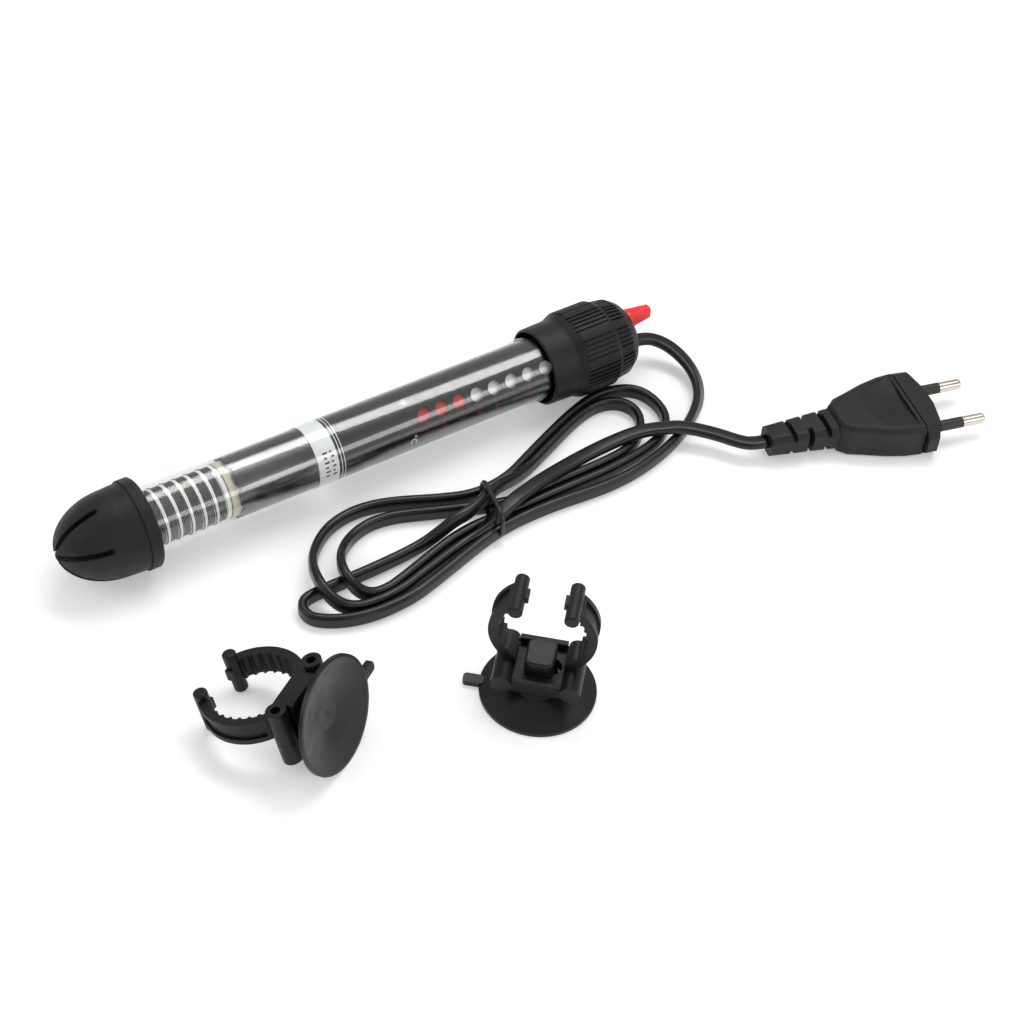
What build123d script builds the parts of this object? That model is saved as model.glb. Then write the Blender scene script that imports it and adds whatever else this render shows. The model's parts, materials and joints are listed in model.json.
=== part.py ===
# Submersible aquarium heater lying on a flat surface, with its flat cord tied in a
# hank, a two-pin plug and two suction-cup brackets beside it.  Millimetres, +Z up,
# +X from the bottom cap to the head.  The origin is on the surface, in the middle
# of the heater and brackets together.

import os
from math import atan2, cos, degrees, pi, radians, sin, tan

from build123d import *

# ---- driving dimensions -------------------------------------------------------
GLASS_R = 11.75
GLASS_WALL = 0.8
GLASS_END = 160.0
DOME_X = -13.0          # centre of the glass's round end
CAP_LENGTH = 30.5
CAP_RIM_R = 15.5
FILM_R = 10.9           # printed sleeves lie just inside the glass
FILM_IN = 10.65
HEAD_START = 151.0
HEAD_END = 189.3
HEAD_R = 15.9
KNOB_TIP = 199.9
KNOB_RISE = 6.0         # the knob's axis is this far above the heater's axis
CORD_DROP = 6.0         # and the cord's exit this far below it

COIL_BANDS = 8
COIL_PITCH = 4.36
COIL_START = -6.5
WINDOWS = 8
WINDOW_START = 100.4
WINDOW_PITCH = 7.05
WINDOW_D = 5.0
WINDOW_TILT = 50.0      # degrees from the top of the tube towards -Y
SCALE_START = 66.3
STRIP_Y = (-6.1, -3.2)  # across the contact strip
STRIP_MID = sum(STRIP_Y) / 2

CUP_R = 18.5
CUP_RIM = 1.2
POST_R = 2.25
POST_Z = 41.0
POST_X = 8.5
POST_LOW = 6.5
POST_HIGH = 8.5
HINGE_X = 10.8
HINGE_Z = 12.0
KNUCKLE_R = 3.2
ARM_CENTRE_Z = 28.0
ARM_IN = 14.0
ARM_OUT = 16.8
ARM_SIDE = -2.0         # where the curved band starts, across the jaws
ARM_WIDTH = 8.0
ARM_GROOVE = 4.6

CUP_A_SIDE = 112.5      # from the heater's axis to the standing bracket's cup
AXIS_Z = HEAD_R
HEATER_X = -84.5
HEATER_Y = 57.75

CORD_TUBE = 4.4         # round tube with the flat cord's section area
TIE_D = 1.6
HANK_HEIGHT = 12.6
LOOP_HEIGHT = 8.0
PLUG_HEADING = -14.5
PLUG_HALF = 6.85
PIN_R = 2.0
PIN_LENGTH = 19.0
PIN_GAP = 18.6
PIN_IN_BODY = 11.0
PIN_BARE = 9.0          # bare metal at the tip
PIN_CORE_R = 1.5
PIN_NECK_R = 1.8        # where the sleeve goes into the plug's body
RELIEF_LENGTH = 25.0
BODY_LENGTH = 37.0
COLLAR = 8.0

# the cord's route, chosen by hand: from the gland to the hank, and on to the plug
LEAD_ROUTE = [
    (106.5, 57.75, 9.9), (114.5, 57.75, 9.9), (120.8, 52.9, 8.4), (123.9, 44.9, 6.0),
    (123.7, 36.0, 3.8), (119.3, 27.5, 2.7), (112.0, 21.1, 2.7), (104.8, 16.6, 2.7),
]
TAIL_ROUTE = [
    (100.0, 14.15, 7.3), (105.3, 9.6, 7.0), (109.9, 4.2, 6.85), (113.6, -1.6, 6.85),
    (117.2, -5.2, 6.85), (122.5, -6.571, 6.85),
]
HANK_OUTLINE = [
    (-57, 7), (-53, 0), (-41, -4), (-26, -4.6), (1, 1.6), (37, 6.6), (76, 4.2),
    (88, 7), (98.08, 11.8), (101.8, 16.35), (106.4, 14.05), (103.2, 19.17),
    (106.5, 28), (105.5, 37), (100, 42), (92, 43.3), (74, 42.4), (62, 39),
    (34, 25.8), (21, 24), (1, 37.5), (-11, 43), (-19, 44.2), (-27, 42.8),
    (-38, 36.5), (-47, 24), (-51, 13),
]
TIE_CENTRE = (21.5, 14.2)
TIE_WIDTH = 21.0
TIE_HEADING = -12.0


# ---- helpers ------------------------------------------------------------------
def turned(points):
    """A solid of revolution about X from an outline of (x, radius) points."""
    return revolve(make_face(Polyline(*points, close=True)), Axis.X)


def rod(x0, x1, r, y=0.0, z=0.0):
    return Pos((x0 + x1) / 2, y, z) * Rot(0, 90, 0) * Cylinder(r, x1 - x0)


def ring(x0, x1, outer, inner):
    return rod(x0, x1, outer) - rod(x0 - 1, x1 + 1, inner)


def block(x0, x1, y0, y1, z0, z1):
    return Pos((x0 + x1) / 2, (y0 + y1) / 2, (z0 + z1) / 2) * Box(x1 - x0, y1 - y0, z1 - z0)


def tilt_x(angle):
    return Rot(angle, 0, 0)


def arc_radii(route):
    """Each corner's arc: 0.45 of its shorter run over the tangent of half its turn."""
    pts = [Vector(*p) for p in route]
    radii = []
    for a, b, c in zip(pts, pts[1:], pts[2:]):
        turn = radians((b - a).get_angle(c - b))
        radii.append(0.45 * min((b - a).length, (c - b).length) / tan(turn / 2))
    return radii


def cord_tube(name, route):
    """A round tube along straight runs joined by tangent arcs."""
    radii = arc_radii(route)
    path = FilletPolyline(*route, radius=radii)
    tube = sweep(path.location_at(0) * Circle(CORD_TUBE / 2), path=path)
    expected = pi * CORD_TUBE ** 2 / 4 * path.length
    print(name, "arc radii", [round(r, 1) for r in radii])
    print(name, "length", round(path.length, 1), "volume over section x length",
          round(tube.volume / expected, 4))
    return tube


# ---- the heater, in its own frame: x = 0 at the bottom cap's rim, axis at y = z = 0 -
def glass_tube():
    inner = GLASS_R - GLASS_WALL
    tube = rod(DOME_X, GLASS_END, GLASS_R) + Pos(DOME_X, 0, 0) * Sphere(GLASS_R)
    hollow = rod(DOME_X, GLASS_END + 1, inner) + Pos(DOME_X, 0, 0) * Sphere(inner)
    return tube - hollow


def bottom_cap():
    """Bullet-shaped rubber cap with a raised rim and six slots that meet at its tip."""
    band = -4.2
    side = 15.0
    shoulder = -10.0
    waist = 14.7
    slot_half = 0.95
    slot_end = -16.5
    dome = EllipticalCenterArc((shoulder, 0), CAP_LENGTH + shoulder, waist, 90, arc_size=90)
    rest = Polyline((-CAP_LENGTH, 0), (0, 0), (0, CAP_RIM_R - 0.6), (-0.6, CAP_RIM_R),
                    (band, CAP_RIM_R), (band, side), (shoulder, waist))
    cap = revolve(make_face(dome + rest), Axis.X)
    cavity = rod(DOME_X, 1, GLASS_R + 0.15)
    cavity += Pos(DOME_X, 0, 0) * Sphere(GLASS_R + 0.15)
    cavity += rod(-27.8, DOME_X, 4.0)
    cap -= cavity
    for k in range(3):
        slot = block(-CAP_LENGTH - 1, slot_end, -slot_half, slot_half, -CAP_RIM_R, CAP_RIM_R)
        slot += Pos(slot_end, 0, 0) * Cylinder(slot_half, 2 * CAP_RIM_R)
        cap -= tilt_x(5 + 60 * k) * slot
    return cap


def ceramic_core():
    core = rod(-10, 27.2, 8.8) - rod(-11, 28, 2.4)
    for k in range(COIL_BANDS + 1):
        x = COIL_START + COIL_PITCH * (k - 0.5)
        core += ring(x - 0.6, x + 0.6, 9.3, 8.5)
    return core


def heating_coil():
    """The winding: one band of five close turns in each groove of the core."""
    bands = []
    wire = 0.29
    for k in range(COIL_BANDS):
        x = COIL_START + COIL_PITCH * k
        band = ring(x - 4.5 * wire, x + 4.5 * wire, 9.45, 8.87)
        bands.append(band)
    return Compound(children=bands)


def core_end_bush():
    return ring(27.4, 31.4, 9.6, 2.4)


def metal_sleeve():
    """Heat shield with a crimped, saw-toothed end towards the winding."""
    start = 29.8
    sleeve = ring(start, 66.0, 10.5, 10.1)
    for k in range(9):
        sleeve -= tilt_x(40 * k + 12) * (Pos(start, 0, 10) * Rot(0, 0, 45) * Box(2.2, 2.2, 3))
    return sleeve


def paper_band():
    return ring(58.7, 66.2, FILM_R, FILM_IN)


def scale_sleeve():
    film = ring(SCALE_START, 158, FILM_R, FILM_IN)
    for k in range(WINDOWS):
        hole = Pos(WINDOW_START + WINDOW_PITCH * k, 0, 10) * Cylinder(WINDOW_D / 2, 4)
        film -= tilt_x(WINDOW_TILT) * hole
    return film


def curved_strip(x0, x1, inner, outer, half_angle):
    """A strip of a tube wall, centred on the row of windows."""
    wedge = make_face(Polyline((0, 0), (-30 * tan(radians(half_angle)), 30),
                               (30 * tan(radians(half_angle)), 30), close=True))
    sector = Pos(x0, 0, 0) * extrude(Plane.YZ * wedge, x1 - x0)
    return tilt_x(WINDOW_TILT) * (ring(x0, x1, outer, inner) & sector)


def window_backing():
    return curved_strip(81, 153, 8.9, 9.3, 24)


def indicator_slide():
    """Red strip behind the windows, driven by a nut on the knob's screw."""
    slide = curved_strip(76, 118.2, 9.5, 9.9, 17) + curved_strip(76, 80, 9.5, 9.9, 34)
    slide += tilt_x(18) * block(76, 80, -0.9, 0.9, 6.6, 9.7)
    nut = rod(76, 80, 2.4, 0, KNOB_RISE)
    return slide + nut - rod(75, 81, 1.3, 0, KNOB_RISE)


def thermostat_frame():
    plate = block(78, 152, -7.6, 7.6, -3.2, -1.6)
    rails = block(80, 150, -7.6, -6.4, -1.6, 1.0) + block(80, 150, 6.4, 7.6, -1.6, 1.0)
    shaft_post = block(118, 123, -3, 3, -1.6, 8.4) - rod(117, 124, 1.6, 0, KNOB_RISE)
    return plate + rails + shaft_post


def bimetal_strip():
    strip = block(92, 128, *STRIP_Y, 1.2, 1.7) + block(124, 127, *STRIP_Y, -1.5, 1.2)
    return strip + Pos(94, STRIP_MID, 0.8) * Cylinder(1.2, 0.8)


def fixed_contact():
    return block(88, 98, *STRIP_Y, -1.5, -0.9) + Pos(94, STRIP_MID, -0.3) * Cylinder(1.2, 1.2)


def control_magnet():
    return block(99, 103, *STRIP_Y, -1.5, 0.6)


def capacitor():
    return block(104, 114, 0.6, 5.6, -1.5, 2.8)


def pilot_lamp():
    return rod(81, 90, 2.4, 3.2, 1.0) + Pos(90, 3.2, 1.0) * Sphere(2.4)


def lead_wires():
    """Two feed wires from the cord, and two bare wires on to the winding."""
    wires = [rod(126, 164, 0.9, y, -6.2) for y in (-2.4, 2.4)]
    wires += [rod(32, 78, 0.5, y, -2.4) for y in (-3.5, 3.5)]
    return Compound(children=wires)


def seal_stopper():
    stopper = rod(153.4, 160.1, 10.3) + rod(160.1, 163, GLASS_R)
    stopper -= rod(150, 165, 1.45, 0, KNOB_RISE)
    for y in (-2.4, 2.4):
        stopper -= rod(150, 165, 1.0, y, -6.2)
    return stopper


def head_seal_ring():
    return ring(156.2, 158.4, 12.9, GLASS_R + 0.02)


def head_cap():
    """Screw cap: a smooth collar, then grooved grips in two steps."""
    groups = 9
    outline = [(HEAD_START, 0), (HEAD_START, 13.7), (151.5, 14.1), (161.5, 14.4),
               (164.0, 15.5), (165.0, HEAD_R), (177.6, HEAD_R), (179.0, 14.9),
               (184.6, 14.2), (187.6, 12.3), (HEAD_END, 10.2), (HEAD_END, 0)]
    cap = turned(outline)
    cap -= rod(150, 155, 13.2) + rod(150, 156.1, 12.4) + rod(156.0, 158.6, 12.95)
    cap -= rod(158, 163.2, GLASS_R + 0.1) + rod(163, 181, 10.8)
    cap -= rod(180, 191, 2.15, 0, KNOB_RISE) + rod(180, 191, 3.3, 0, -CORD_DROP)
    groove = block(163.8, 178.4, -0.36, 0.36, HEAD_R - 0.62, HEAD_R + 1)
    low_groove = block(179.4, 190, -0.32, 0.32, 13.5, 16)
    for group in range(groups):
        for k in range(5):
            angle = group * 360 / groups + (k - 2) * 6.2 + 8
            cap -= tilt_x(angle) * (groove + low_groove)
    return cap


def cord_gland():
    """A soft sleeve, pushed into the head, that the cord leaves through."""
    gland = rod(181.3, HEAD_END + 0.1, 3.2, 0, -CORD_DROP)
    gland += rod(HEAD_END + 0.1, 191, 3.9, 0, -CORD_DROP)
    return gland - rod(180, HEAD_END, 1.9, 0, -CORD_DROP)


def knob():
    """Tapered grip on a round skirt."""
    foot = HEAD_END + 0.3
    skirt = rod(foot, foot + 1.4, 3.7, 0, KNOB_RISE)
    base = Plane(origin=(foot + 1.2, 0, KNOB_RISE), x_dir=(0, 1, 0), z_dir=(1, 0, 0))
    tip = Plane(origin=(KNOB_TIP, 0, KNOB_RISE), x_dir=(0, 1, 0), z_dir=(1, 0, 0))
    lever = loft([base * RectangleRounded(5.0, 6.8, 1.4), tip * RectangleRounded(3.6, 4.8, 1.2)])
    return skirt + lever - rod(188, 194, 1.22, 0, KNOB_RISE)


def knob_shaft():
    shaft = rod(66.5, 193.9, 1.22, 0, KNOB_RISE) + rod(181.5, 183.5, 1.9, 0, KNOB_RISE)
    return shaft + rod(116, 117.6, 1.9, 0, KNOB_RISE)


def shaft_o_ring():
    return Pos(185.2, 0, KNOB_RISE) * (rod(-0.6, 0.6, 2.13) - rod(-1, 1, 1.24))


# ---- a suction-cup bracket, in its own frame: the cup's rim lies in z = 0 --------
def suction_cup():
    outer = [(0, 0.0), (CUP_R, 0.0), (CUP_R, CUP_RIM), (13.5, 3.4), (8.6, 5.6),
             (6.4, 7.4), (6.0, 8.3), (2.2, 8.3), (2.2, 12.9), (0, 12.9)]
    body = revolve(make_face(Plane.XZ * Polyline(*outer, close=True)), Axis.Z)
    dish = [(0, -1), (17.6, -1), (17.6, 0), (11, 1.6), (5, 3.2), (0, 3.5)]
    body -= revolve(make_face(Plane.XZ * Polyline(*dish, close=True)), Axis.Z)
    button = extrude(Pos(0, 0, 12.8) * RectangleRounded(9.2, 10.6, 2.2), 5.6)
    button = fillet(button.faces().sort_by(Axis.Z)[-1].edges(), 0.8)
    tab = extrude(Pos(-CUP_R - 1.8, -1.2, 0.1) * RectangleRounded(6.6, 3.6, 1.2), 2.0)
    return body + button + tab


def bracket_base():
    plate = extrude(Pos(0, 0, 8.6) * RectangleRounded(15, 18, 1.5), 3.9)
    keyhole = Pos(3.6, 0, 10) * Cylinder(3.3, 8) + block(-2.4, 3.6, -2.4, 2.4, 8, 13)
    base = plate - keyhole
    base += block(-7.5, 7.5, 7.2, 9.0, 12, 15.2) + block(-7.5, 7.5, -9, -7.6, 12, 13.4)
    for side in (-1, 1):
        x = side * HINGE_X
        knuckle = Pos(x, -6.1, HINGE_Z) * Rot(90, 0, 0) * Cylinder(KNUCKLE_R, 7.8)
        web = block(min(6.5 * side, x), max(6.5 * side, x), -9.2, -2.6, 8.9, 12.5)
        stud = Pos(x, 2.2, HINGE_Z) * Rot(90, 0, 0) * Cylinder(1.45, 9.2)
        base += knuckle + web + stud
    return base


def arm_teeth():
    """Triangular teeth along the inside of one arm."""
    teeth = []
    for k in range(8):
        angle = -40 + 12.5 * k
        tooth = make_face(Plane.XZ * Polyline((ARM_IN + 0.5, -1.35), (ARM_IN + 0.5, 1.35),
                                              (ARM_IN - 0.85, 0), close=True))
        solid = Pos(0, ARM_SIDE + ARM_WIDTH, 0) * extrude(tooth, ARM_WIDTH)
        teeth.append(Pos(0, 0, ARM_CENTRE_Z) * Rot(0, -angle, 0) * solid)
    return teeth


def arm_sector(low, high):
    """A wedge about the jaws' centre, between two angles from level."""
    reach = 40.0
    corners = [(reach * cos(radians(a)), ARM_CENTRE_Z + reach * sin(radians(a)))
               for a in (low, 0, high)]
    wedge = make_face(Plane.XZ * Polyline((0, ARM_CENTRE_Z), *corners, close=True))
    return Pos(0, 20, 0) * extrude(wedge, 40)


def bracket_arm(side):
    """One jaw: knuckle, curved channel and the post that takes the rubber ring."""
    middle = ARM_SIDE + ARM_WIDTH / 2
    centre = Pos(0, middle, ARM_CENTRE_Z) * Rot(90, 0, 0)
    band = centre * (Cylinder(ARM_OUT, ARM_WIDTH) - Cylinder(ARM_IN, ARM_WIDTH + 2))
    groove = centre * (Cylinder(ARM_OUT + 1, ARM_GROOVE) - Cylinder(ARM_OUT - 0.9, ARM_WIDTH))
    arm = band & arm_sector(-57, 57)
    arm -= groove & arm_sector(-42, 46)
    for tooth in arm_teeth():
        arm += tooth
    arm += Pos(HINGE_X, 4.0, HINGE_Z) * Rot(90, 0, 0) * Cylinder(KNUCKLE_R, 12)
    post = Pos(POST_X, (POST_HIGH - POST_LOW) / 2, POST_Z) * Rot(90, 0, 0) * Cylinder(
        POST_R, POST_LOW + POST_HIGH)
    arm += fillet(post.edges(), 0.7)
    arm += block(POST_X - 3.1, POST_X - 1, -0.5, 3.5, POST_Z - 1.2, POST_Z + 1.2)
    arm -= Pos(HINGE_X, 1.5, HINGE_Z) * Rot(90, 0, 0) * Cylinder(1.5, 20)
    return arm if side > 0 else mirror(arm, Plane.YZ)


def bracket_a_place():
    """Standing on its cup, its jaws along a line 47 degrees from the heater's axis."""
    return Pos(HEATER_X + 79.0, HEATER_Y - CUP_A_SIDE, 0) * Rot(0, 0, -43)


def bracket_b_place():
    """Lying on the cup's rim and the lower ends of its two posts."""
    dip = degrees(atan2(CUP_R - POST_LOW, POST_Z + POST_R - CUP_RIM))
    lift = CUP_R * cos(radians(dip)) + CUP_RIM * sin(radians(dip))
    lying = Pos(HEATER_X + 13.1, HEATER_Y - 102.0, lift) * Rot(0, 0, 212.3)
    return lying * Rot(90 + dip, 0, 0)


# ---- the plug, in its own frame: +X from the cord to the pins ---------------------
def plug_strain_relief():
    """Flexible sleeve cut into linked segments."""
    sections = [(0.0, 9.6, 8.6), (RELIEF_LENGTH, 13.0, 10.4)]
    faces = [Plane(origin=(x, 0, 0), x_dir=(0, 1, 0), z_dir=(1, 0, 0))
             * RectangleRounded(w, t, 2.6) for x, w, t in sections]
    relief = loft(faces)
    for k, x in enumerate((7.2, 13.6, 20.0)):
        gap = block(x, x + 2.0, -20, 20, -20, 20)
        if k % 2:
            gap -= block(x - 1, x + 3, -2.2, 2.2, -20, 20)
        else:
            gap -= block(x - 1, x + 3, -20, 20, -2.0, 2.0)
        gap -= block(x - 1, x + 3, -2.6, 2.6, -2.4, 2.4)
        relief -= gap
    return relief


def side_plate(plan, half):
    """A plate of that outline in plan, as far above the middle plane as below it."""
    return extrude(Pos(0, 0, -half) * make_face(Polyline(*plan, close=True)), 2 * half)


def plug_body():
    """Flat body with a scooped grip panel above and below, and a wider collar."""
    x0 = RELIEF_LENGTH
    x1 = x0 + BODY_LENGTH
    front = x1 - COLLAR
    half_plan = [(x0, 5.6), (x0 + 3.2, 8.6), (x0 + 9, 10.6), (x0 + 16, 13.2),
                 (front - 6, 15.0), (front, 15.6)]
    plan = [(x, -y) for x, y in half_plan] + half_plan[::-1]
    body = side_plate(plan, PLUG_HALF)
    body = fillet(body.edges().filter_by(Plane.XY).filter_by(
        lambda e: e.center().X < front - 1), 2.2)
    panel = [(front - 1.4, -13.2), (front - 12, -10.6), (x0 + 10, -6.0), (x0 + 5.5, 0),
             (x0 + 10, 6.0), (front - 12, 10.6), (front - 1.4, 13.2)]
    for side in (-1, 1):
        scoop = Pos(front - 4, 0, side * (PLUG_HALF + 62 - 1.4)) * Sphere(62)
        body -= scoop & side_plate(panel, 2 * PLUG_HALF)
    collar_face = Plane(origin=(front, 0, 0), x_dir=(0, 1, 0), z_dir=(1, 0, 0)) * make_face(
        Polyline((-17.65, -3.2), (-13.6, -PLUG_HALF), (13.6, -PLUG_HALF), (17.65, -3.2),
                 (17.65, 3.2), (13.6, PLUG_HALF), (-13.6, PLUG_HALF), (-17.65, 3.2),
                 close=True))
    collar = extrude(collar_face, COLLAR)
    nose = [(front + 0.45, -20), (x1 - 4.2, -20), (x1 - 1.6, -12), (x1, -4),
            (x1, 4), (x1 - 1.6, 12), (x1 - 4.2, 20), (front + 0.45, 20)]
    collar &= side_plate(nose, 10)
    neck = block(front - 1, front + 1, -14.4, 14.4, 0.6 - PLUG_HALF, PLUG_HALF - 0.6)
    body += collar + neck
    for side in (-1, 1):
        body -= rod(x1 - PIN_IN_BODY - 1, x1 + 1, PIN_NECK_R + 0.02, side * PIN_GAP / 2, 0)
    return body


def on_both_pins(x0, x1, radius):
    """The same rod on both pins."""
    return [rod(x0, x1, radius, side * PIN_GAP / 2, 0) for side in (-1, 1)]


def plug_pins():
    x1 = RELIEF_LENGTH + BODY_LENGTH
    tip = x1 + PIN_LENGTH
    thin = on_both_pins(x1 - PIN_IN_BODY, tip - PIN_BARE, PIN_CORE_R)
    thick = on_both_pins(tip - PIN_BARE, tip, PIN_R)
    pins = [a + fillet(b.faces().sort_by(Axis.X)[-1].edges(), 1.4) for a, b in zip(thin, thick)]
    return Compound(children=pins)


def pin_sleeves():
    """Insulating sleeves, slightly necked where they go into the body."""
    x1 = RELIEF_LENGTH + BODY_LENGTH
    end = x1 + PIN_LENGTH - PIN_BARE - 0.02
    sleeves = []
    for inner, neck, outer in zip(on_both_pins(x1 - 20, end + 1, PIN_CORE_R + 0.02),
                                  on_both_pins(x1 - PIN_IN_BODY, x1 + 1.2, PIN_NECK_R),
                                  on_both_pins(x1 + 1, end, PIN_R)):
        sleeves.append(neck + outer - inner)
    return Compound(children=sleeves)


def plug_place():
    end = TAIL_ROUTE[-1]
    return Pos(*end) * Rot(0, 0, PLUG_HEADING)


# ---- the cord --------------------------------------------------------------------
def tie_ring(thick):
    """The tie's closed ring round the middle of the hank."""
    plane = Plane(origin=(TIE_CENTRE[0], TIE_CENTRE[1], HANK_HEIGHT / 2),
                  x_dir=(-sin(radians(TIE_HEADING)), cos(radians(TIE_HEADING)), 0),
                  z_dir=(cos(radians(TIE_HEADING)), sin(radians(TIE_HEADING)), 0))
    frame = RectangleRounded(TIE_WIDTH - TIE_D, HANK_HEIGHT - TIE_D - 0.1, 4.0)
    path = plane * frame.face().outer_wire()
    return sweep(path.location_at(0) * Circle(thick / 2), path=path)


def cord_hank():
    """The outer shape of the tied turns, lower where they pass under the head."""
    hank = extrude(make_face(Polyline(*HANK_OUTLINE, close=True)), HANK_HEIGHT)
    hank -= block(45, 120, 31, 60, LOOP_HEIGHT, 20)
    return hank - tie_ring(TIE_D + 0.3)


# ---- write every piece ------------------------------------------------------------
def build():
    heater = Pos(HEATER_X, HEATER_Y, AXIS_Z)
    pieces = {f.__name__: heater * f() for f in (
        glass_tube, bottom_cap, ceramic_core, heating_coil, core_end_bush, metal_sleeve,
        paper_band, scale_sleeve, window_backing, indicator_slide, thermostat_frame,
        bimetal_strip, fixed_contact, control_magnet, capacitor, pilot_lamp, lead_wires,
        seal_stopper, head_seal_ring, head_cap, cord_gland, knob, knob_shaft,
        shaft_o_ring)}
    plug = plug_place()
    for f in (plug_body, plug_strain_relief, plug_pins, pin_sleeves):
        pieces[f.__name__] = plug * f()
    pieces["cord_lead"] = cord_tube("cord_lead", LEAD_ROUTE)
    pieces["cord_tail"] = cord_tube("cord_tail", TAIL_ROUTE)
    pieces["cord_hank"] = cord_hank()
    pieces["cord_tie"] = tie_ring(TIE_D)
    for tag, place in (("a", bracket_a_place()), ("b", bracket_b_place())):
        pieces[f"bracket_{tag}_cup"] = place * suction_cup()
        pieces[f"bracket_{tag}_base"] = place * bracket_base()
        pieces[f"bracket_{tag}_arm_left"] = place * bracket_arm(-1)
        pieces[f"bracket_{tag}_arm_right"] = place * bracket_arm(1)
    return pieces


def report(pieces):
    """Prints the brackets' axes and the box without cord and plug."""
    for tag, place in (("a", bracket_a_place()), ("b", bracket_b_place())):
        for side in (-1, 1):
            hinge = place * Pos(side * HINGE_X, 0, HINGE_Z)
            print("bracket", tag, "hinge", side, [round(v, 3) for v in hinge.position])
        units = ((1, 0, 0), (0, 1, 0), (0, 0, 1))
        axes = [(place * Pos(*v)).position - place.position for v in units]
        print("bracket", tag, "origin", [round(v, 3) for v in place.position])
        print("bracket", tag, "axes", [[round(c, 5) for c in a] for a in axes])
    own = [s for n, s in pieces.items() if not n.startswith(("cord_", "plug_", "pin_"))]
    box = Compound(children=own).bounding_box()
    print("own box", box.min, box.max)


def main():
    os.makedirs("parts", exist_ok=True)
    pieces = build()
    for name, shape in pieces.items():
        shape.label = name
        export_step(shape, f"parts/{name}.step")
    report(pieces)


main()
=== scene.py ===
"""Looks of a submersible aquarium heater with its tied cord and two suction-cup brackets."""

import json
import math

import bpy
from mathutils import Matrix, Vector


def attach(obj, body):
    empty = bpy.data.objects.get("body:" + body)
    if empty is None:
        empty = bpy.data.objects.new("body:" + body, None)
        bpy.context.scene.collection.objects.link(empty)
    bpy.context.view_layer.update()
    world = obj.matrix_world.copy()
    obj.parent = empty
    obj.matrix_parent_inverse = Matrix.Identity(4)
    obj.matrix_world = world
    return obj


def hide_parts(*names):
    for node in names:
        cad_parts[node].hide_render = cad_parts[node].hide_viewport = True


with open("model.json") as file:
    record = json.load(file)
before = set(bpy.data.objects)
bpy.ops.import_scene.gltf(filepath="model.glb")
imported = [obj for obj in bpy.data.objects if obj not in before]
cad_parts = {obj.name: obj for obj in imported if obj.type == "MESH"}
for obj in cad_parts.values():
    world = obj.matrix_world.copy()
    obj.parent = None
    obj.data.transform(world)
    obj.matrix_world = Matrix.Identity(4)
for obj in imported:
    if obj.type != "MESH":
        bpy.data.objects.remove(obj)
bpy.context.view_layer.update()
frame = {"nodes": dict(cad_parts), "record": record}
NODES = frame["nodes"]

# the heater's own axis, and where its own x = 0 lies along the frame's x
AXIS_Y = 0.05775
AXIS_Z = 0.0159
X_SHIFT = -0.0845


# ---------------------------------------------------------------- camera

def camera():
    right = Vector((0.8365, -0.5451, 0.0560)).normalized()
    back = Vector((-0.4149, -0.5634, 0.7144))
    back = (back - right * back.dot(right)).normalized()
    up = back.cross(right)
    place = Matrix((right, up, back)).transposed().to_4x4()
    place.translation = Vector((-0.2516, -0.36795, 0.4849))
    data = bpy.data.cameras.new("camera")
    data.lens = 70.3125
    data.sensor_width = 36.0
    data.clip_start = 0.01
    data.clip_end = 20.0
    view = bpy.data.objects.new("camera", data)
    view.matrix_world = place
    bpy.context.collection.objects.link(view)
    bpy.context.scene.camera = view


camera()


# ---------------------------------------------------------------- mesh helpers

PAINTED = []


def mesh_piece(name, verts, faces, slot, look=None):
    """A smooth piece on the heater, painted like its slot unless it has its own look."""
    mesh = bpy.data.meshes.new(name)
    mesh.from_pydata([tuple(v) for v in verts], [], faces)
    mesh.validate()
    mesh.update()
    for face in mesh.polygons:
        face.use_smooth = True
    piece = bpy.data.objects.new(name, mesh)
    bpy.context.collection.objects.link(piece)
    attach(piece, "heater")
    PAINTED.append((piece, look or slot))
    return piece


def rings_to_mesh(rings):
    """Joins rings of equal count into a tube with a flat cap at each end."""
    count = len(rings[0])
    verts = [v for ring in rings for v in ring]
    faces = []
    last = (len(rings) - 1) * count
    for low in range(0, last, count):
        high = low + count
        for j in range(count):
            k = (j + 1) % count
            faces.append((low + j, low + k, high + k, high + j))
    faces.append(tuple(reversed(range(count))))
    faces.append(tuple(range(last, last + count)))
    return verts, faces


def spline_points(name, points):
    """The points along one open NURBS spline, as its own curve gives them."""
    data = bpy.data.curves.new(name, "CURVE")
    data.dimensions = "3D"
    data.resolution_u = 8
    spline = data.splines.new("NURBS")
    spline.points.add(len(points) - 1)
    for point, place in zip(spline.points, points):
        point.co = (*place, 1.0)
    spline.order_u = 3
    spline.use_endpoint_u = True
    holder = bpy.data.objects.new(name, data)
    mesh = bpy.data.meshes.new_from_object(holder)
    line = [v.co.copy() for v in mesh.vertices]
    bpy.data.meshes.remove(mesh)
    bpy.data.curves.remove(data)
    return line


# ---------------------------------------------------------------- cord

CORD_WIDTH = 0.0054
CORD_THICK = 0.0032

# the route: control points in metres, from the gland round the hank to the plug

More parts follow.
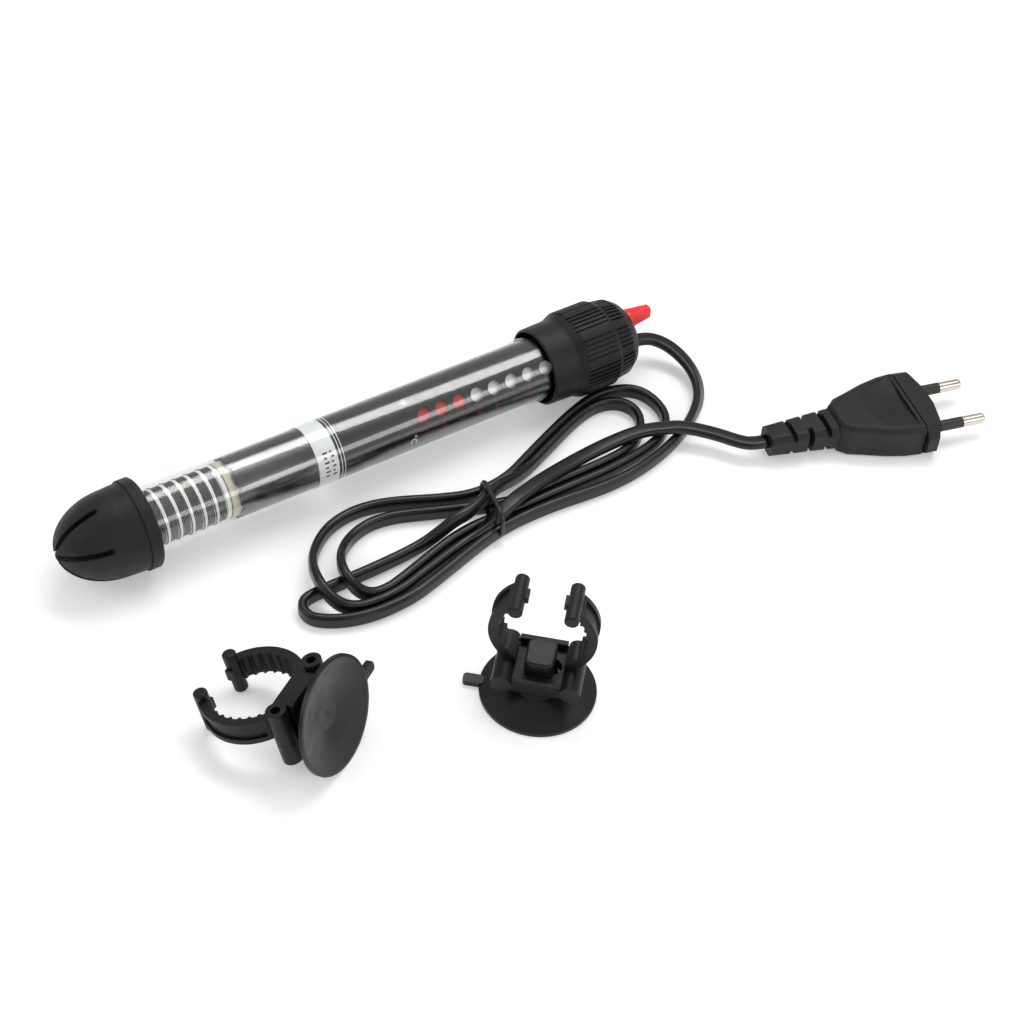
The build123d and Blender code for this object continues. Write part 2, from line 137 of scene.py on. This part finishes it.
LEAD = [
    (0.1065, 0.05775, 0.0099), (0.1145, 0.05775, 0.0099), (0.1208, 0.0529, 0.0084),
    (0.1239, 0.0449, 0.0060), (0.1237, 0.0360, 0.0038), (0.1193, 0.0275, 0.0027),
    (0.1120, 0.0211, 0.0027), (0.1048, 0.0166, 0.0027),
]
FIRST_RUN = [
    (0.0980, 0.0130, 0.0027), (0.0880, 0.0095, 0.0027), (0.0765, 0.0070, 0.0027),
    (0.0655, 0.0062, 0.0027), (0.0555, 0.0068, 0.0027), (0.0460, 0.0078, 0.0027),
    (0.0370, 0.0082, 0.0027), (0.0270, 0.0080, 0.0027), (0.0180, 0.0068, 0.0027),
]
LOWEST_LOOP = [
    (0.0090, 0.0045, 0.0027), (0.0000, 0.0018, 0.0027), (-0.0100, -0.0012, 0.0027),
    (-0.0190, -0.0035, 0.0027), (-0.0270, -0.0042, 0.0027), (-0.0345, -0.0040, 0.0027),
    (-0.0420, -0.0025, 0.0027), (-0.0485, 0.0005, 0.0027), (-0.0530, 0.0040, 0.0027),
    (-0.0540, 0.0085, 0.0027), (-0.0520, 0.0120, 0.0027), (-0.0480, 0.0130, 0.0027),
    (-0.0435, 0.0130, 0.0027), (-0.0370, 0.0130, 0.0027), (-0.0290, 0.0130, 0.0027),
    (-0.0180, 0.0132, 0.0027), (-0.0060, 0.0138, 0.0032), (0.0010, 0.0142, 0.0055),
    (0.0070, 0.0146, 0.0078), (0.0130, 0.0150, 0.0081),
]
INNER_RIGHT = [
    (0.0210, 0.0182, 0.0081), (0.0290, 0.0215, 0.0070), (0.0370, 0.0240, 0.0042),
    (0.0445, 0.0270, 0.0027), (0.0550, 0.0315, 0.0027), (0.0640, 0.0354, 0.0027),
    (0.0730, 0.0391, 0.0027), (0.0810, 0.0412, 0.0027), (0.0875, 0.0408, 0.0027),
    (0.0920, 0.0380, 0.0027), (0.0940, 0.0335, 0.0027), (0.0932, 0.0285, 0.0027),
    (0.0902, 0.0238, 0.0027), (0.0860, 0.0202, 0.0027), (0.0810, 0.0178, 0.0027),
    (0.0760, 0.0166, 0.0027), (0.0680, 0.0160, 0.0027), (0.0580, 0.0160, 0.0027),
    (0.0500, 0.0161, 0.0027), (0.0420, 0.0158, 0.0027), (0.0340, 0.0156, 0.0027),
]
INNER_LEFT = [
    (0.0265, 0.0172, 0.0027), (0.0200, 0.0195, 0.0027), (0.0150, 0.0215, 0.0027),
    (0.0075, 0.0243, 0.0027), (-0.0010, 0.0278, 0.0027), (-0.0075, 0.0302, 0.0027),
    (-0.0145, 0.0312, 0.0027), (-0.0205, 0.0304, 0.0027), (-0.0260, 0.0280, 0.0029),
    (-0.0305, 0.0240, 0.0042), (-0.0340, 0.0190, 0.0066), (-0.0362, 0.0140, 0.0082),
    (-0.0368, 0.0090, 0.0078), (-0.0352, 0.0052, 0.0052), (-0.0315, 0.0030, 0.0032),
    (-0.0260, 0.0028, 0.0027), (-0.0200, 0.0042, 0.0027), (-0.0120, 0.0066, 0.0027),
    (-0.0050, 0.0088, 0.0027), (0.0040, 0.0114, 0.0027), (0.0130, 0.0126, 0.0027),
]
OUTER_RIGHT = [
    (0.0230, 0.0124, 0.0027), (0.0330, 0.0120, 0.0027), (0.0440, 0.0121, 0.0027),
    (0.0570, 0.0120, 0.0027), (0.0680, 0.0120, 0.0027), (0.0790, 0.0130, 0.0027),
    (0.0885, 0.0148, 0.0027), (0.0950, 0.0175, 0.0027), (0.0995, 0.0212, 0.0027),
    (0.1022, 0.0260, 0.0027), (0.1030, 0.0320, 0.0027), (0.1020, 0.0380, 0.0027),
    (0.0990, 0.0420, 0.0028), (0.0945, 0.0440, 0.0030), (0.0890, 0.0452, 0.0031),
    (0.0830, 0.0450, 0.0030), (0.0755, 0.0430, 0.0028), (0.0670, 0.0400, 0.0027),
    (0.0550, 0.0350, 0.0027), (0.0450, 0.0305, 0.0027), (0.0365, 0.0268, 0.0027),
    (0.0270, 0.0252, 0.0027),
]
OUTER_LEFT = [
    (0.0190, 0.0258, 0.0027), (0.0105, 0.0290, 0.0027), (0.0030, 0.0325, 0.0027),
    (-0.0035, 0.0354, 0.0027), (-0.0100, 0.0376, 0.0027), (-0.0170, 0.0386, 0.0027),
    (-0.0235, 0.0380, 0.0027), (-0.0295, 0.0360, 0.0028), (-0.0350, 0.0322, 0.0031),
    (-0.0398, 0.0270, 0.0040), (-0.0432, 0.0210, 0.0062), (-0.0452, 0.0150, 0.0082),
    (-0.0458, 0.0095, 0.0081), (-0.0446, 0.0050, 0.0062), (-0.0415, 0.0018, 0.0040),
    (-0.0360, 0.0002, 0.0028), (-0.0290, -0.0004, 0.0027), (-0.0210, 0.0004, 0.0027),
    (-0.0120, 0.0030, 0.0027), (-0.0030, 0.0054, 0.0027), (0.0060, 0.0078, 0.0027),
    (0.0140, 0.0092, 0.0038),
]
PLUG_RUN = [
    (0.0215, 0.0102, 0.0066), (0.0290, 0.0128, 0.0076), (0.0380, 0.0152, 0.0074),
    (0.0460, 0.0172, 0.0068), (0.0550, 0.0190, 0.0060), (0.0650, 0.0204, 0.0057),
    (0.0750, 0.0206, 0.0062), (0.0840, 0.0196, 0.0072), (0.0900, 0.0180, 0.0076),
    (0.0960, 0.0158, 0.0074),
]
TAIL = [
    (0.1000, 0.01415, 0.0073), (0.1053, 0.0096, 0.0070), (0.1099, 0.0042, 0.00685),
    (0.1136, -0.0016, 0.00685), (0.1172, -0.0052, 0.00685), (0.1225, -0.006571, 0.00685),
]
ROUTE = (
    LEAD + FIRST_RUN + LOWEST_LOOP + INNER_RIGHT + INNER_LEFT
    + OUTER_RIGHT + OUTER_LEFT + PLUG_RUN + TAIL
)
# the cord lies flat at its two ends, and stands on edge in between
FLAT_AT_HEAD = 0.012
TURN_AT_HEAD = 0.05
FLAT_AT_PLUG = 0.135
TURN_AT_PLUG = 0.03


def smoothstep(t):
    t = min(1.0, max(0.0, t))
    return t * t * (3.0 - 2.0 * t)


SECTION_POINTS = 20
SQUARE_ACROSS = 0.62
SQUARE_THICK = 0.78
GROOVE_DEPTH = 0.07
GROOVE_WIDTH = 0.16


def signed_power(value, power):
    return math.copysign(abs(value) ** power, value)


def section(turn):
    """A flat twin-core section, its wide side turned from level by that angle."""
    points = []
    for i in range(SECTION_POINTS):
        a = math.tau * i / SECTION_POINTS
        across = signed_power(math.cos(a), SQUARE_ACROSS) * CORD_WIDTH / 2
        thick = signed_power(math.sin(a), SQUARE_THICK) * CORD_THICK / 2
        thick *= 1.0 - GROOVE_DEPTH * math.exp(-((across / (GROOVE_WIDTH * CORD_WIDTH)) ** 2))
        points.append((
            across * math.cos(turn) - thick * math.sin(turn),
            across * math.sin(turn) + thick * math.cos(turn),
        ))
    return points


def cord():
    line = spline_points("cord_line", ROUTE)
    along = [0.0]
    for a, b in zip(line, line[1:]):
        along.append(along[-1] + (b - a).length)
    total = along[-1]
    rings = []
    for i, (point, s) in enumerate(zip(line, along)):
        ahead = line[min(i + 1, len(line) - 1)]
        behind = line[max(i - 1, 0)]
        tangent = (ahead - behind).normalized()
        side = tangent.cross(Vector((0, 0, 1))).normalized()
        top = side.cross(tangent).normalized()
        on_edge = smoothstep((s - FLAT_AT_HEAD) / TURN_AT_HEAD)
        on_edge *= 1.0 - smoothstep((s - (total - FLAT_AT_PLUG)) / TURN_AT_PLUG)
        rings.append([point + side * u + top * v for u, v in section(on_edge * math.pi / 2)])
    verts, faces = rings_to_mesh(rings)
    piece = mesh_piece("flat_cord", verts, faces, "cord_pvc")
    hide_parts("cord_lead", "cord_hank", "cord_tail")


cord()


# ---------------------------------------------------------------- winding

FIRST_BAND = -0.0065
BAND_PITCH = 0.00436
BANDS = 8
TURNS = 5
TURN_PITCH = 0.00056
WIRE_R = 0.00020
WIRE_AT = 0.00903
OVER_RIDGE = 0.00956
STEPS_PER_TURN = 44
WIRE_SIDES = 6


def round_axis(x, angle, radius):
    """A point at x along the heater's own frame, that angle from its top towards -Y."""
    return Vector((
        x + X_SHIFT, AXIS_Y - radius * math.sin(angle), AXIS_Z + radius * math.cos(angle),
    ))


def winding_line():
    """Five close turns in each groove of the core, and a step over each ridge."""
    points = []
    half_band = TURNS * TURN_PITCH / 2
    for band in range(BANDS):
        middle = FIRST_BAND + BAND_PITCH * band
        for i in range(TURNS * STEPS_PER_TURN):
            turn = i / STEPS_PER_TURN
            x = middle - half_band + turn * TURN_PITCH
            points.append(round_axis(x, math.tau * turn, WIRE_AT))
        if band == BANDS - 1:
            break
        gap = BAND_PITCH - 2 * half_band
        for i in range(1, STEPS_PER_TURN):
            t = i / STEPS_PER_TURN
            lift = (OVER_RIDGE - WIRE_AT) * math.sin(math.pi * t) ** 0.5
            x = middle + half_band + gap * smoothstep(t)
            points.append(round_axis(x, math.tau * t, WIRE_AT + lift))
    return points


def winding():
    """The wire as one fine tube along its line."""
    line = winding_line()
    axis = Vector((X_SHIFT, AXIS_Y, AXIS_Z))
    rings = []
    for i, point in enumerate(line):
        tangent = (line[min(i + 1, len(line) - 1)] - line[max(i - 1, 0)]).normalized()
        out = Vector((0, point.y - axis.y, point.z - axis.z)).normalized()
        side = tangent.cross(out).normalized()
        ring = []
        for k in range(WIRE_SIDES):
            a = math.tau * k / WIRE_SIDES
            ring.append(point + side * math.cos(a) * WIRE_R + out * math.sin(a) * WIRE_R)
        rings.append(ring)
    verts, faces = rings_to_mesh(rings)
    piece = mesh_piece("resistance_wire", verts, faces, "winding_wire")
    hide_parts("heating_coil")


winding()


# ---------------------------------------------------------------- printed marks and painted highlight rings

FILM_TOP = 0.01093
WINDOW_START = 0.1004
WINDOW_PITCH = 0.00705
CELSIUS = (20, 22, 24, 26, 28, 30, 32, 34)
FAHRENHEIT = (68, 72, 75, 79, 82, 86, 90, 93)
MARK_THICK = 0.00002


class Print:
    """Thin printed shapes, and painted highlight rings, laid round the tube just under the glass."""

    def __init__(self):
        self.verts = []
        self.faces = []

    def bar(self, x0, x1, a0, a1):
        """A bar from x0 to x1 along the tube and from angle a0 to a1 round it, in degrees."""
        steps = max(2, math.ceil(abs(a1 - a0) / 5))
        low = len(self.verts)
        for i in range(steps + 1):
            a = math.radians(a0 + (a1 - a0) * i / steps)
            self.verts.append(round_axis(x0, a, FILM_TOP))
            self.verts.append(round_axis(x1, a, FILM_TOP))
        for i in range(steps):
            k = low + 2 * i
            self.faces.append((k, k + 2, k + 3, k + 1))

    def text(self, words, x, angle, size):
        """Words read round the tube, with their tops towards the head."""
        data = bpy.data.curves.new("words", "FONT")
        data.body = words
        data.size = size
        data.align_x = "CENTER"
        data.align_y = "CENTER"
        data.resolution_u = 3
        holder = bpy.data.objects.new("words", data)
        mesh = bpy.data.meshes.new_from_object(holder)
        low = len(self.verts)
        for v in mesh.vertices:
            a = math.radians(angle) + v.co.x / FILM_TOP
            self.verts.append(round_axis(x + v.co.y, a, FILM_TOP))
        for face in mesh.polygons:
            self.faces.append(tuple(low + i for i in face.vertices))
        bpy.data.meshes.remove(mesh)
        bpy.data.curves.remove(data)

    def done(self, name, slot, look=None):
        piece = mesh_piece(name, self.verts, self.faces, slot, look)
        thick = piece.modifiers.new("thickness", "SOLIDIFY")
        thick.thickness = MARK_THICK
        thick.offset = 0.0


def scale_print():
    """Ticks and numbers beside each window, the two unit signs, and two white rings that are painted
    highlights.
    """
    red = Print()
    for k in range(8):
        x = WINDOW_START + WINDOW_PITCH * k
        red.bar(x - 0.00017, x + 0.00017, 21.0, 31.0)
        red.bar(x - 0.00017, x + 0.00017, 69.0, 79.0)
        red.text(str(FAHRENHEIT[k]), x, 12.5, 0.0028)
        red.text(str(CELSIUS[k]), x, 88.0, 0.0028)
        if k < 7:
            middle = x + WINDOW_PITCH / 2
            red.bar(middle - 0.00012, middle + 0.00012, 24.0, 30.0)
            red.bar(middle - 0.00012, middle + 0.00012, 70.0, 76.0)
    red.done("scale_numbers", "red_indicator", "red_print")
    white = Print()
    white.text("\u00b0F", 0.0948, 12.5, 0.0034)
    white.text("\u00b0C", 0.0948, 88.0, 0.0034)
    # painted highlights: two thin white rings standing in for the glass's double reflection
    for x in (0.0673, 0.0684):
        white.bar(x - 0.00014, x + 0.00014, -180.0, 180.0)
    white.done("painted_highlight_rings", "white_plastic")


def paper_print():
    """Two columns of plain bars on the paper band."""
    black = Print()
    for k in range(6):
        angle = 46.0 + 9.0 * k
        black.bar(0.0611, 0.0623 if k % 2 else 0.0629, angle, angle + 3.2)
        black.bar(0.0637, 0.0651 if k % 2 else 0.0645, angle, angle + 3.2)
    black.done("band_print", "black_film")


scale_print()
paper_print()


# ---------------------------------------------------------------- floor and light

def floor():
    verts = [(-3, -3, 0), (3, -3, 0), (3, 3, 0), (-3, 3, 0)]
    mesh = bpy.data.meshes.new("floor")
    mesh.from_pydata(verts, [], [(0, 1, 2, 3)])
    sheet = bpy.data.objects.new("floor", mesh)
    bpy.context.collection.objects.link(sheet)
    mat = bpy.data.materials.new("floor")
    mat.use_nodes = True
    shader = mat.node_tree.nodes["Principled BSDF"]
    shader.inputs["Base Color"].default_value = (0.86, 0.86, 0.85, 1)
    shader.inputs["Roughness"].default_value = 0.75
    shader.inputs["Specular IOR Level"].default_value = 0.2
    shader.inputs["Emission Color"].default_value = (1, 1, 1, 1)
    shader.inputs["Emission Strength"].default_value = 0.30
    mesh.materials.append(mat)


def area_light(name, place, aim, size, power):
    data = bpy.data.lights.new(name, "AREA")
    data.shape = "RECTANGLE"
    data.size = size[0]
    data.size_y = size[1]
    data.energy = power
    lamp = bpy.data.objects.new(name, data)
    direction = Vector(aim) - Vector(place)
    lamp.location = place
    lamp.rotation_euler = direction.to_track_quat("-Z", "Y").to_euler()
    bpy.context.collection.objects.link(lamp)


def lights():
    world = bpy.data.worlds.new("studio")
    world.use_nodes = True
    world.node_tree.nodes["Background"].inputs["Color"].default_value = (1, 1, 1, 1)
    world.node_tree.nodes["Background"].inputs["Strength"].default_value = 0.48
    bpy.context.scene.world = world
    bpy.context.scene.view_settings.view_transform = "Standard"
    area_light("key", (0.38, 0.26, 0.95), (0.02, 0.02, 0), (0.9, 0.30), 5.2)
    area_light("fill", (-0.85, 0.35, 0.75), (0, 0, 0), (0.7, 0.7), 2.2)
    area_light("front", (0.48, -0.95, 0.52), (0.03, 0, 0), (1.0, 0.34), 3.2)


floor()
lights()


# ---------------------------------------------------------------- materials

class Nodes:
    """Small helpers on one material's node tree."""

    def __init__(self, name):
        self.mat = bpy.data.materials.new(name)
        self.mat.use_nodes = True
        self.tree = self.mat.node_tree
        self.shader = self.tree.nodes["Principled BSDF"]
        self.coords = self.tree.nodes.new("ShaderNodeTexCoord")

    def link(self, a, b):
        self.tree.links.new(a, b)

    def noise(self, scale, detail):
        node = self.tree.nodes.new("ShaderNodeTexNoise")
        node.inputs["Scale"].default_value = scale
        node.inputs["Detail"].default_value = detail
        node.inputs["Roughness"].default_value = 0.55
        self.link(self.coords.outputs["Object"], node.inputs["Vector"])
        return node.outputs["Fac"]

    def ramp(self, source, low, high, out_low, out_high):
        node = self.tree.nodes.new("ShaderNodeMapRange")
        node.inputs["From Min"].default_value = low
        node.inputs["From Max"].default_value = high
        node.inputs["To Min"].default_value = out_low
        node.inputs["To Max"].default_value = out_high
        self.link(source, node.inputs["Value"])
        return node.outputs["Result"]

    def mix(self, factor, a, b):
        node = self.tree.nodes.new("ShaderNodeMix")
        node.data_type = "RGBA"
        self.link(factor, node.inputs["Factor"])
        node.inputs["A"].default_value = (*a, 1)
        node.inputs["B"].default_value = (*b, 1)
        return node.outputs["Result"]

    def bump(self, source, height, distance=0.0002):
        node = self.tree.nodes.new("ShaderNodeBump")
        node.inputs["Strength"].default_value = height
        node.inputs["Distance"].default_value = distance
        self.link(source, node.inputs["Height"])
        return node.outputs["Normal"]


BLOTCHES = 60.0
WEAR = 240.0


def finish_material(name, dark, light, rough, grain, relief, metallic=0.0, specular=0.5):
    """Colour drifts in soft blotches, roughness follows wear, and a fine grain lifts it all."""
    n = Nodes(name)
    n.shader.inputs["Metallic"].default_value = metallic
    n.shader.inputs["Specular IOR Level"].default_value = specular
    soft = n.ramp(n.noise(BLOTCHES, 4.0), 0.3, 0.7, 0.0, 1.0)
    n.link(n.mix(soft, dark, light), n.shader.inputs["Base Color"])
    worn = n.ramp(n.noise(WEAR, 5.0), 0.3, 0.7, rough[0], rough[1])
    n.link(worn, n.shader.inputs["Roughness"])
    n.link(n.bump(n.noise(grain, 2.0), relief), n.shader.inputs["Normal"])
    return n


def glass_material():
    """Clear thin wall: what is behind shows straight through, with sharper gloss at its edges."""
    n = Nodes("clear_glass")
    tree = n.tree
    tree.nodes.remove(n.shader)
    clear = tree.nodes.new("ShaderNodeBsdfTransparent")
    clear.inputs["Color"].default_value = (0.975, 0.985, 0.98, 1)
    gloss = tree.nodes.new("ShaderNodeBsdfAnisotropic")
    gloss.inputs["Color"].default_value = (1, 1, 1, 1)
    smear = n.ramp(n.noise(45.0, 3.0), 0.35, 0.7, 0.07, 0.11)
    n.link(smear, gloss.inputs["Roughness"])
    wave = n.noise(60.0, 1.0)
    n.link(n.bump(wave, 0.06, 0.0003), gloss.inputs["Normal"])
    facing = tree.nodes.new("ShaderNodeLayerWeight")
    facing.inputs["Blend"].default_value = 0.5
    power = tree.nodes.new("ShaderNodeMath")
    power.operation = "POWER"
    power.inputs[1].default_value = 3.5
    n.link(facing.outputs["Facing"], power.inputs[0])
    share = n.ramp(power.outputs["Value"], 0.0, 1.0, 0.045, 0.70)
    mix = tree.nodes.new("ShaderNodeMixShader")
    n.link(share, mix.inputs["Fac"])
    n.link(clear.outputs["BSDF"], mix.inputs[1])
    n.link(gloss.outputs["BSDF"], mix.inputs[2])
    n.link(mix.outputs["Shader"], tree.nodes["Material Output"].inputs["Surface"])
    return n


# slot: (darkest colour, lightest colour, roughness range, grain per metre, relief, more)
FINISHES = {
    "black_rubber_cap": (
        (0.006, 0.006, 0.006), (0.014, 0.014, 0.014), (0.44, 0.62), 2300, 0.60, {"specular": 0.3},
    ),
    "black_head_plastic": (
        (0.005, 0.005, 0.005), (0.012, 0.012, 0.012), (0.40, 0.56), 2300, 0.60, {"specular": 0.3},
    ),
    "white_ceramic": ((0.90, 0.89, 0.87), (0.96, 0.95, 0.94), (0.30, 0.5), 1200, 0.25, {}),
    "cream_ceramic": ((0.66, 0.60, 0.46), (0.76, 0.70, 0.56), (0.45, 0.65), 1500, 0.3, {}),
    "winding_wire": (
        (0.055, 0.046, 0.038), (0.12, 0.10, 0.085), (0.28, 0.44), 2800, 0.2, {"metallic": 0.85},
    ),
    "shield_metal": (
        (0.10, 0.10, 0.105), (0.19, 0.19, 0.195), (0.20, 0.27), 2600, 0.12, {"metallic": 1.0},
    ),
    "white_paper": ((0.92, 0.92, 0.91), (0.97, 0.97, 0.96), (0.75, 0.9), 1800, 0.35, {}),
    "black_film": ((0.007, 0.007, 0.008), (0.009, 0.009, 0.009), (0.27, 0.31), 900, 0.03, {}),
    "white_plastic": ((0.92, 0.92, 0.91), (0.97, 0.97, 0.97), (0.35, 0.5), 1500, 0.2, {}),
    "red_indicator": ((0.62, 0.015, 0.01), (0.74, 0.03, 0.02), (0.35, 0.5), 1500, 0.2, {}),
    "red_print": ((0.16, 0.012, 0.010), (0.30, 0.020, 0.016), (0.35, 0.5), 1500, 0.1, {}),
    "frame_board": ((0.30, 0.22, 0.12), (0.40, 0.30, 0.17), (0.5, 0.7), 900, 0.3, {}),
    "contact_metal": (
        (0.60, 0.50, 0.30), (0.70, 0.60, 0.38), (0.2, 0.35), 1200, 0.15, {"metallic": 1.0},
    ),
    "magnet_grey": ((0.15, 0.15, 0.15), (0.22, 0.22, 0.22), (0.4, 0.6), 1200, 0.2, {"metallic": 0.6}),
    "capacitor_blue": ((0.03, 0.08, 0.30), (0.05, 0.12, 0.38), (0.3, 0.45), 900, 0.2, {}),
    "lamp_glass": ((0.85, 0.45, 0.25), (0.9, 0.55, 0.35), (0.05, 0.1), 900, 0.05, {}),
    "wire_sleeving": ((0.60, 0.34, 0.18), (0.70, 0.42, 0.24), (0.6, 0.8), 2500, 0.4, {}),
    "black_seal": ((0.010, 0.010, 0.010), (0.020, 0.020, 0.020), (0.5, 0.7), 1800, 0.3, {}),
    "red_knob": ((0.86, 0.014, 0.022), (0.95, 0.030, 0.040), (0.28, 0.42), 1800, 0.25, {}),
    "shaft_metal": (
        (0.55, 0.55, 0.56), (0.66, 0.66, 0.67), (0.18, 0.32), 900, 0.12, {"metallic": 1.0},
    ),
    "cord_pvc": (
        (0.004, 0.004, 0.004), (0.008, 0.008, 0.008), (0.26, 0.38), 1600, 0.15, {"specular": 0.4},
    ),
    "tie_wire": ((0.007, 0.007, 0.007), (0.014, 0.014, 0.014), (0.28, 0.42), 1600, 0.12, {}),
    "plug_plastic": (
        (0.006, 0.006, 0.006), (0.014, 0.014, 0.015), (0.38, 0.54), 1900, 0.85, {"specular": 0.3},
    ),
    "pin_metal": (
        (0.62, 0.56, 0.49), (0.76, 0.70, 0.62), (0.16, 0.28), 700, 0.15, {"metallic": 1.0},
    ),
    "pin_sleeve_plastic": ((0.009, 0.009, 0.009), (0.016, 0.016, 0.016), (0.32, 0.5), 2000, 0.2, {}),
    "cup_rubber": (
        (0.005, 0.005, 0.005), (0.009, 0.009, 0.010), (0.27, 0.40), 1500, 0.15, {"specular": 0.35},
    ),
    "bracket_plastic": (
        (0.005, 0.005, 0.005), (0.012, 0.012, 0.013), (0.34, 0.50), 2300, 0.50, {"specular": 0.3},
    ),
}


def paint():
    """Each piece gets the material of its own slot."""
    made = {"clear_glass": glass_material().mat}
    for slot, (dark, light, rough, grain, relief, more) in FINISHES.items():
        made[slot] = finish_material(slot, dark, light, rough, grain, relief, **more).mat
    slots = {s["node"]: s["material_slot"] for s in frame["record"]["subparts"]}
    for name, node in NODES.items():
        node.data.materials.clear()
        node.data.materials.append(made[slots[name]])
    for piece, look in PAINTED:
        piece.data.materials.append(made[look])


paint()
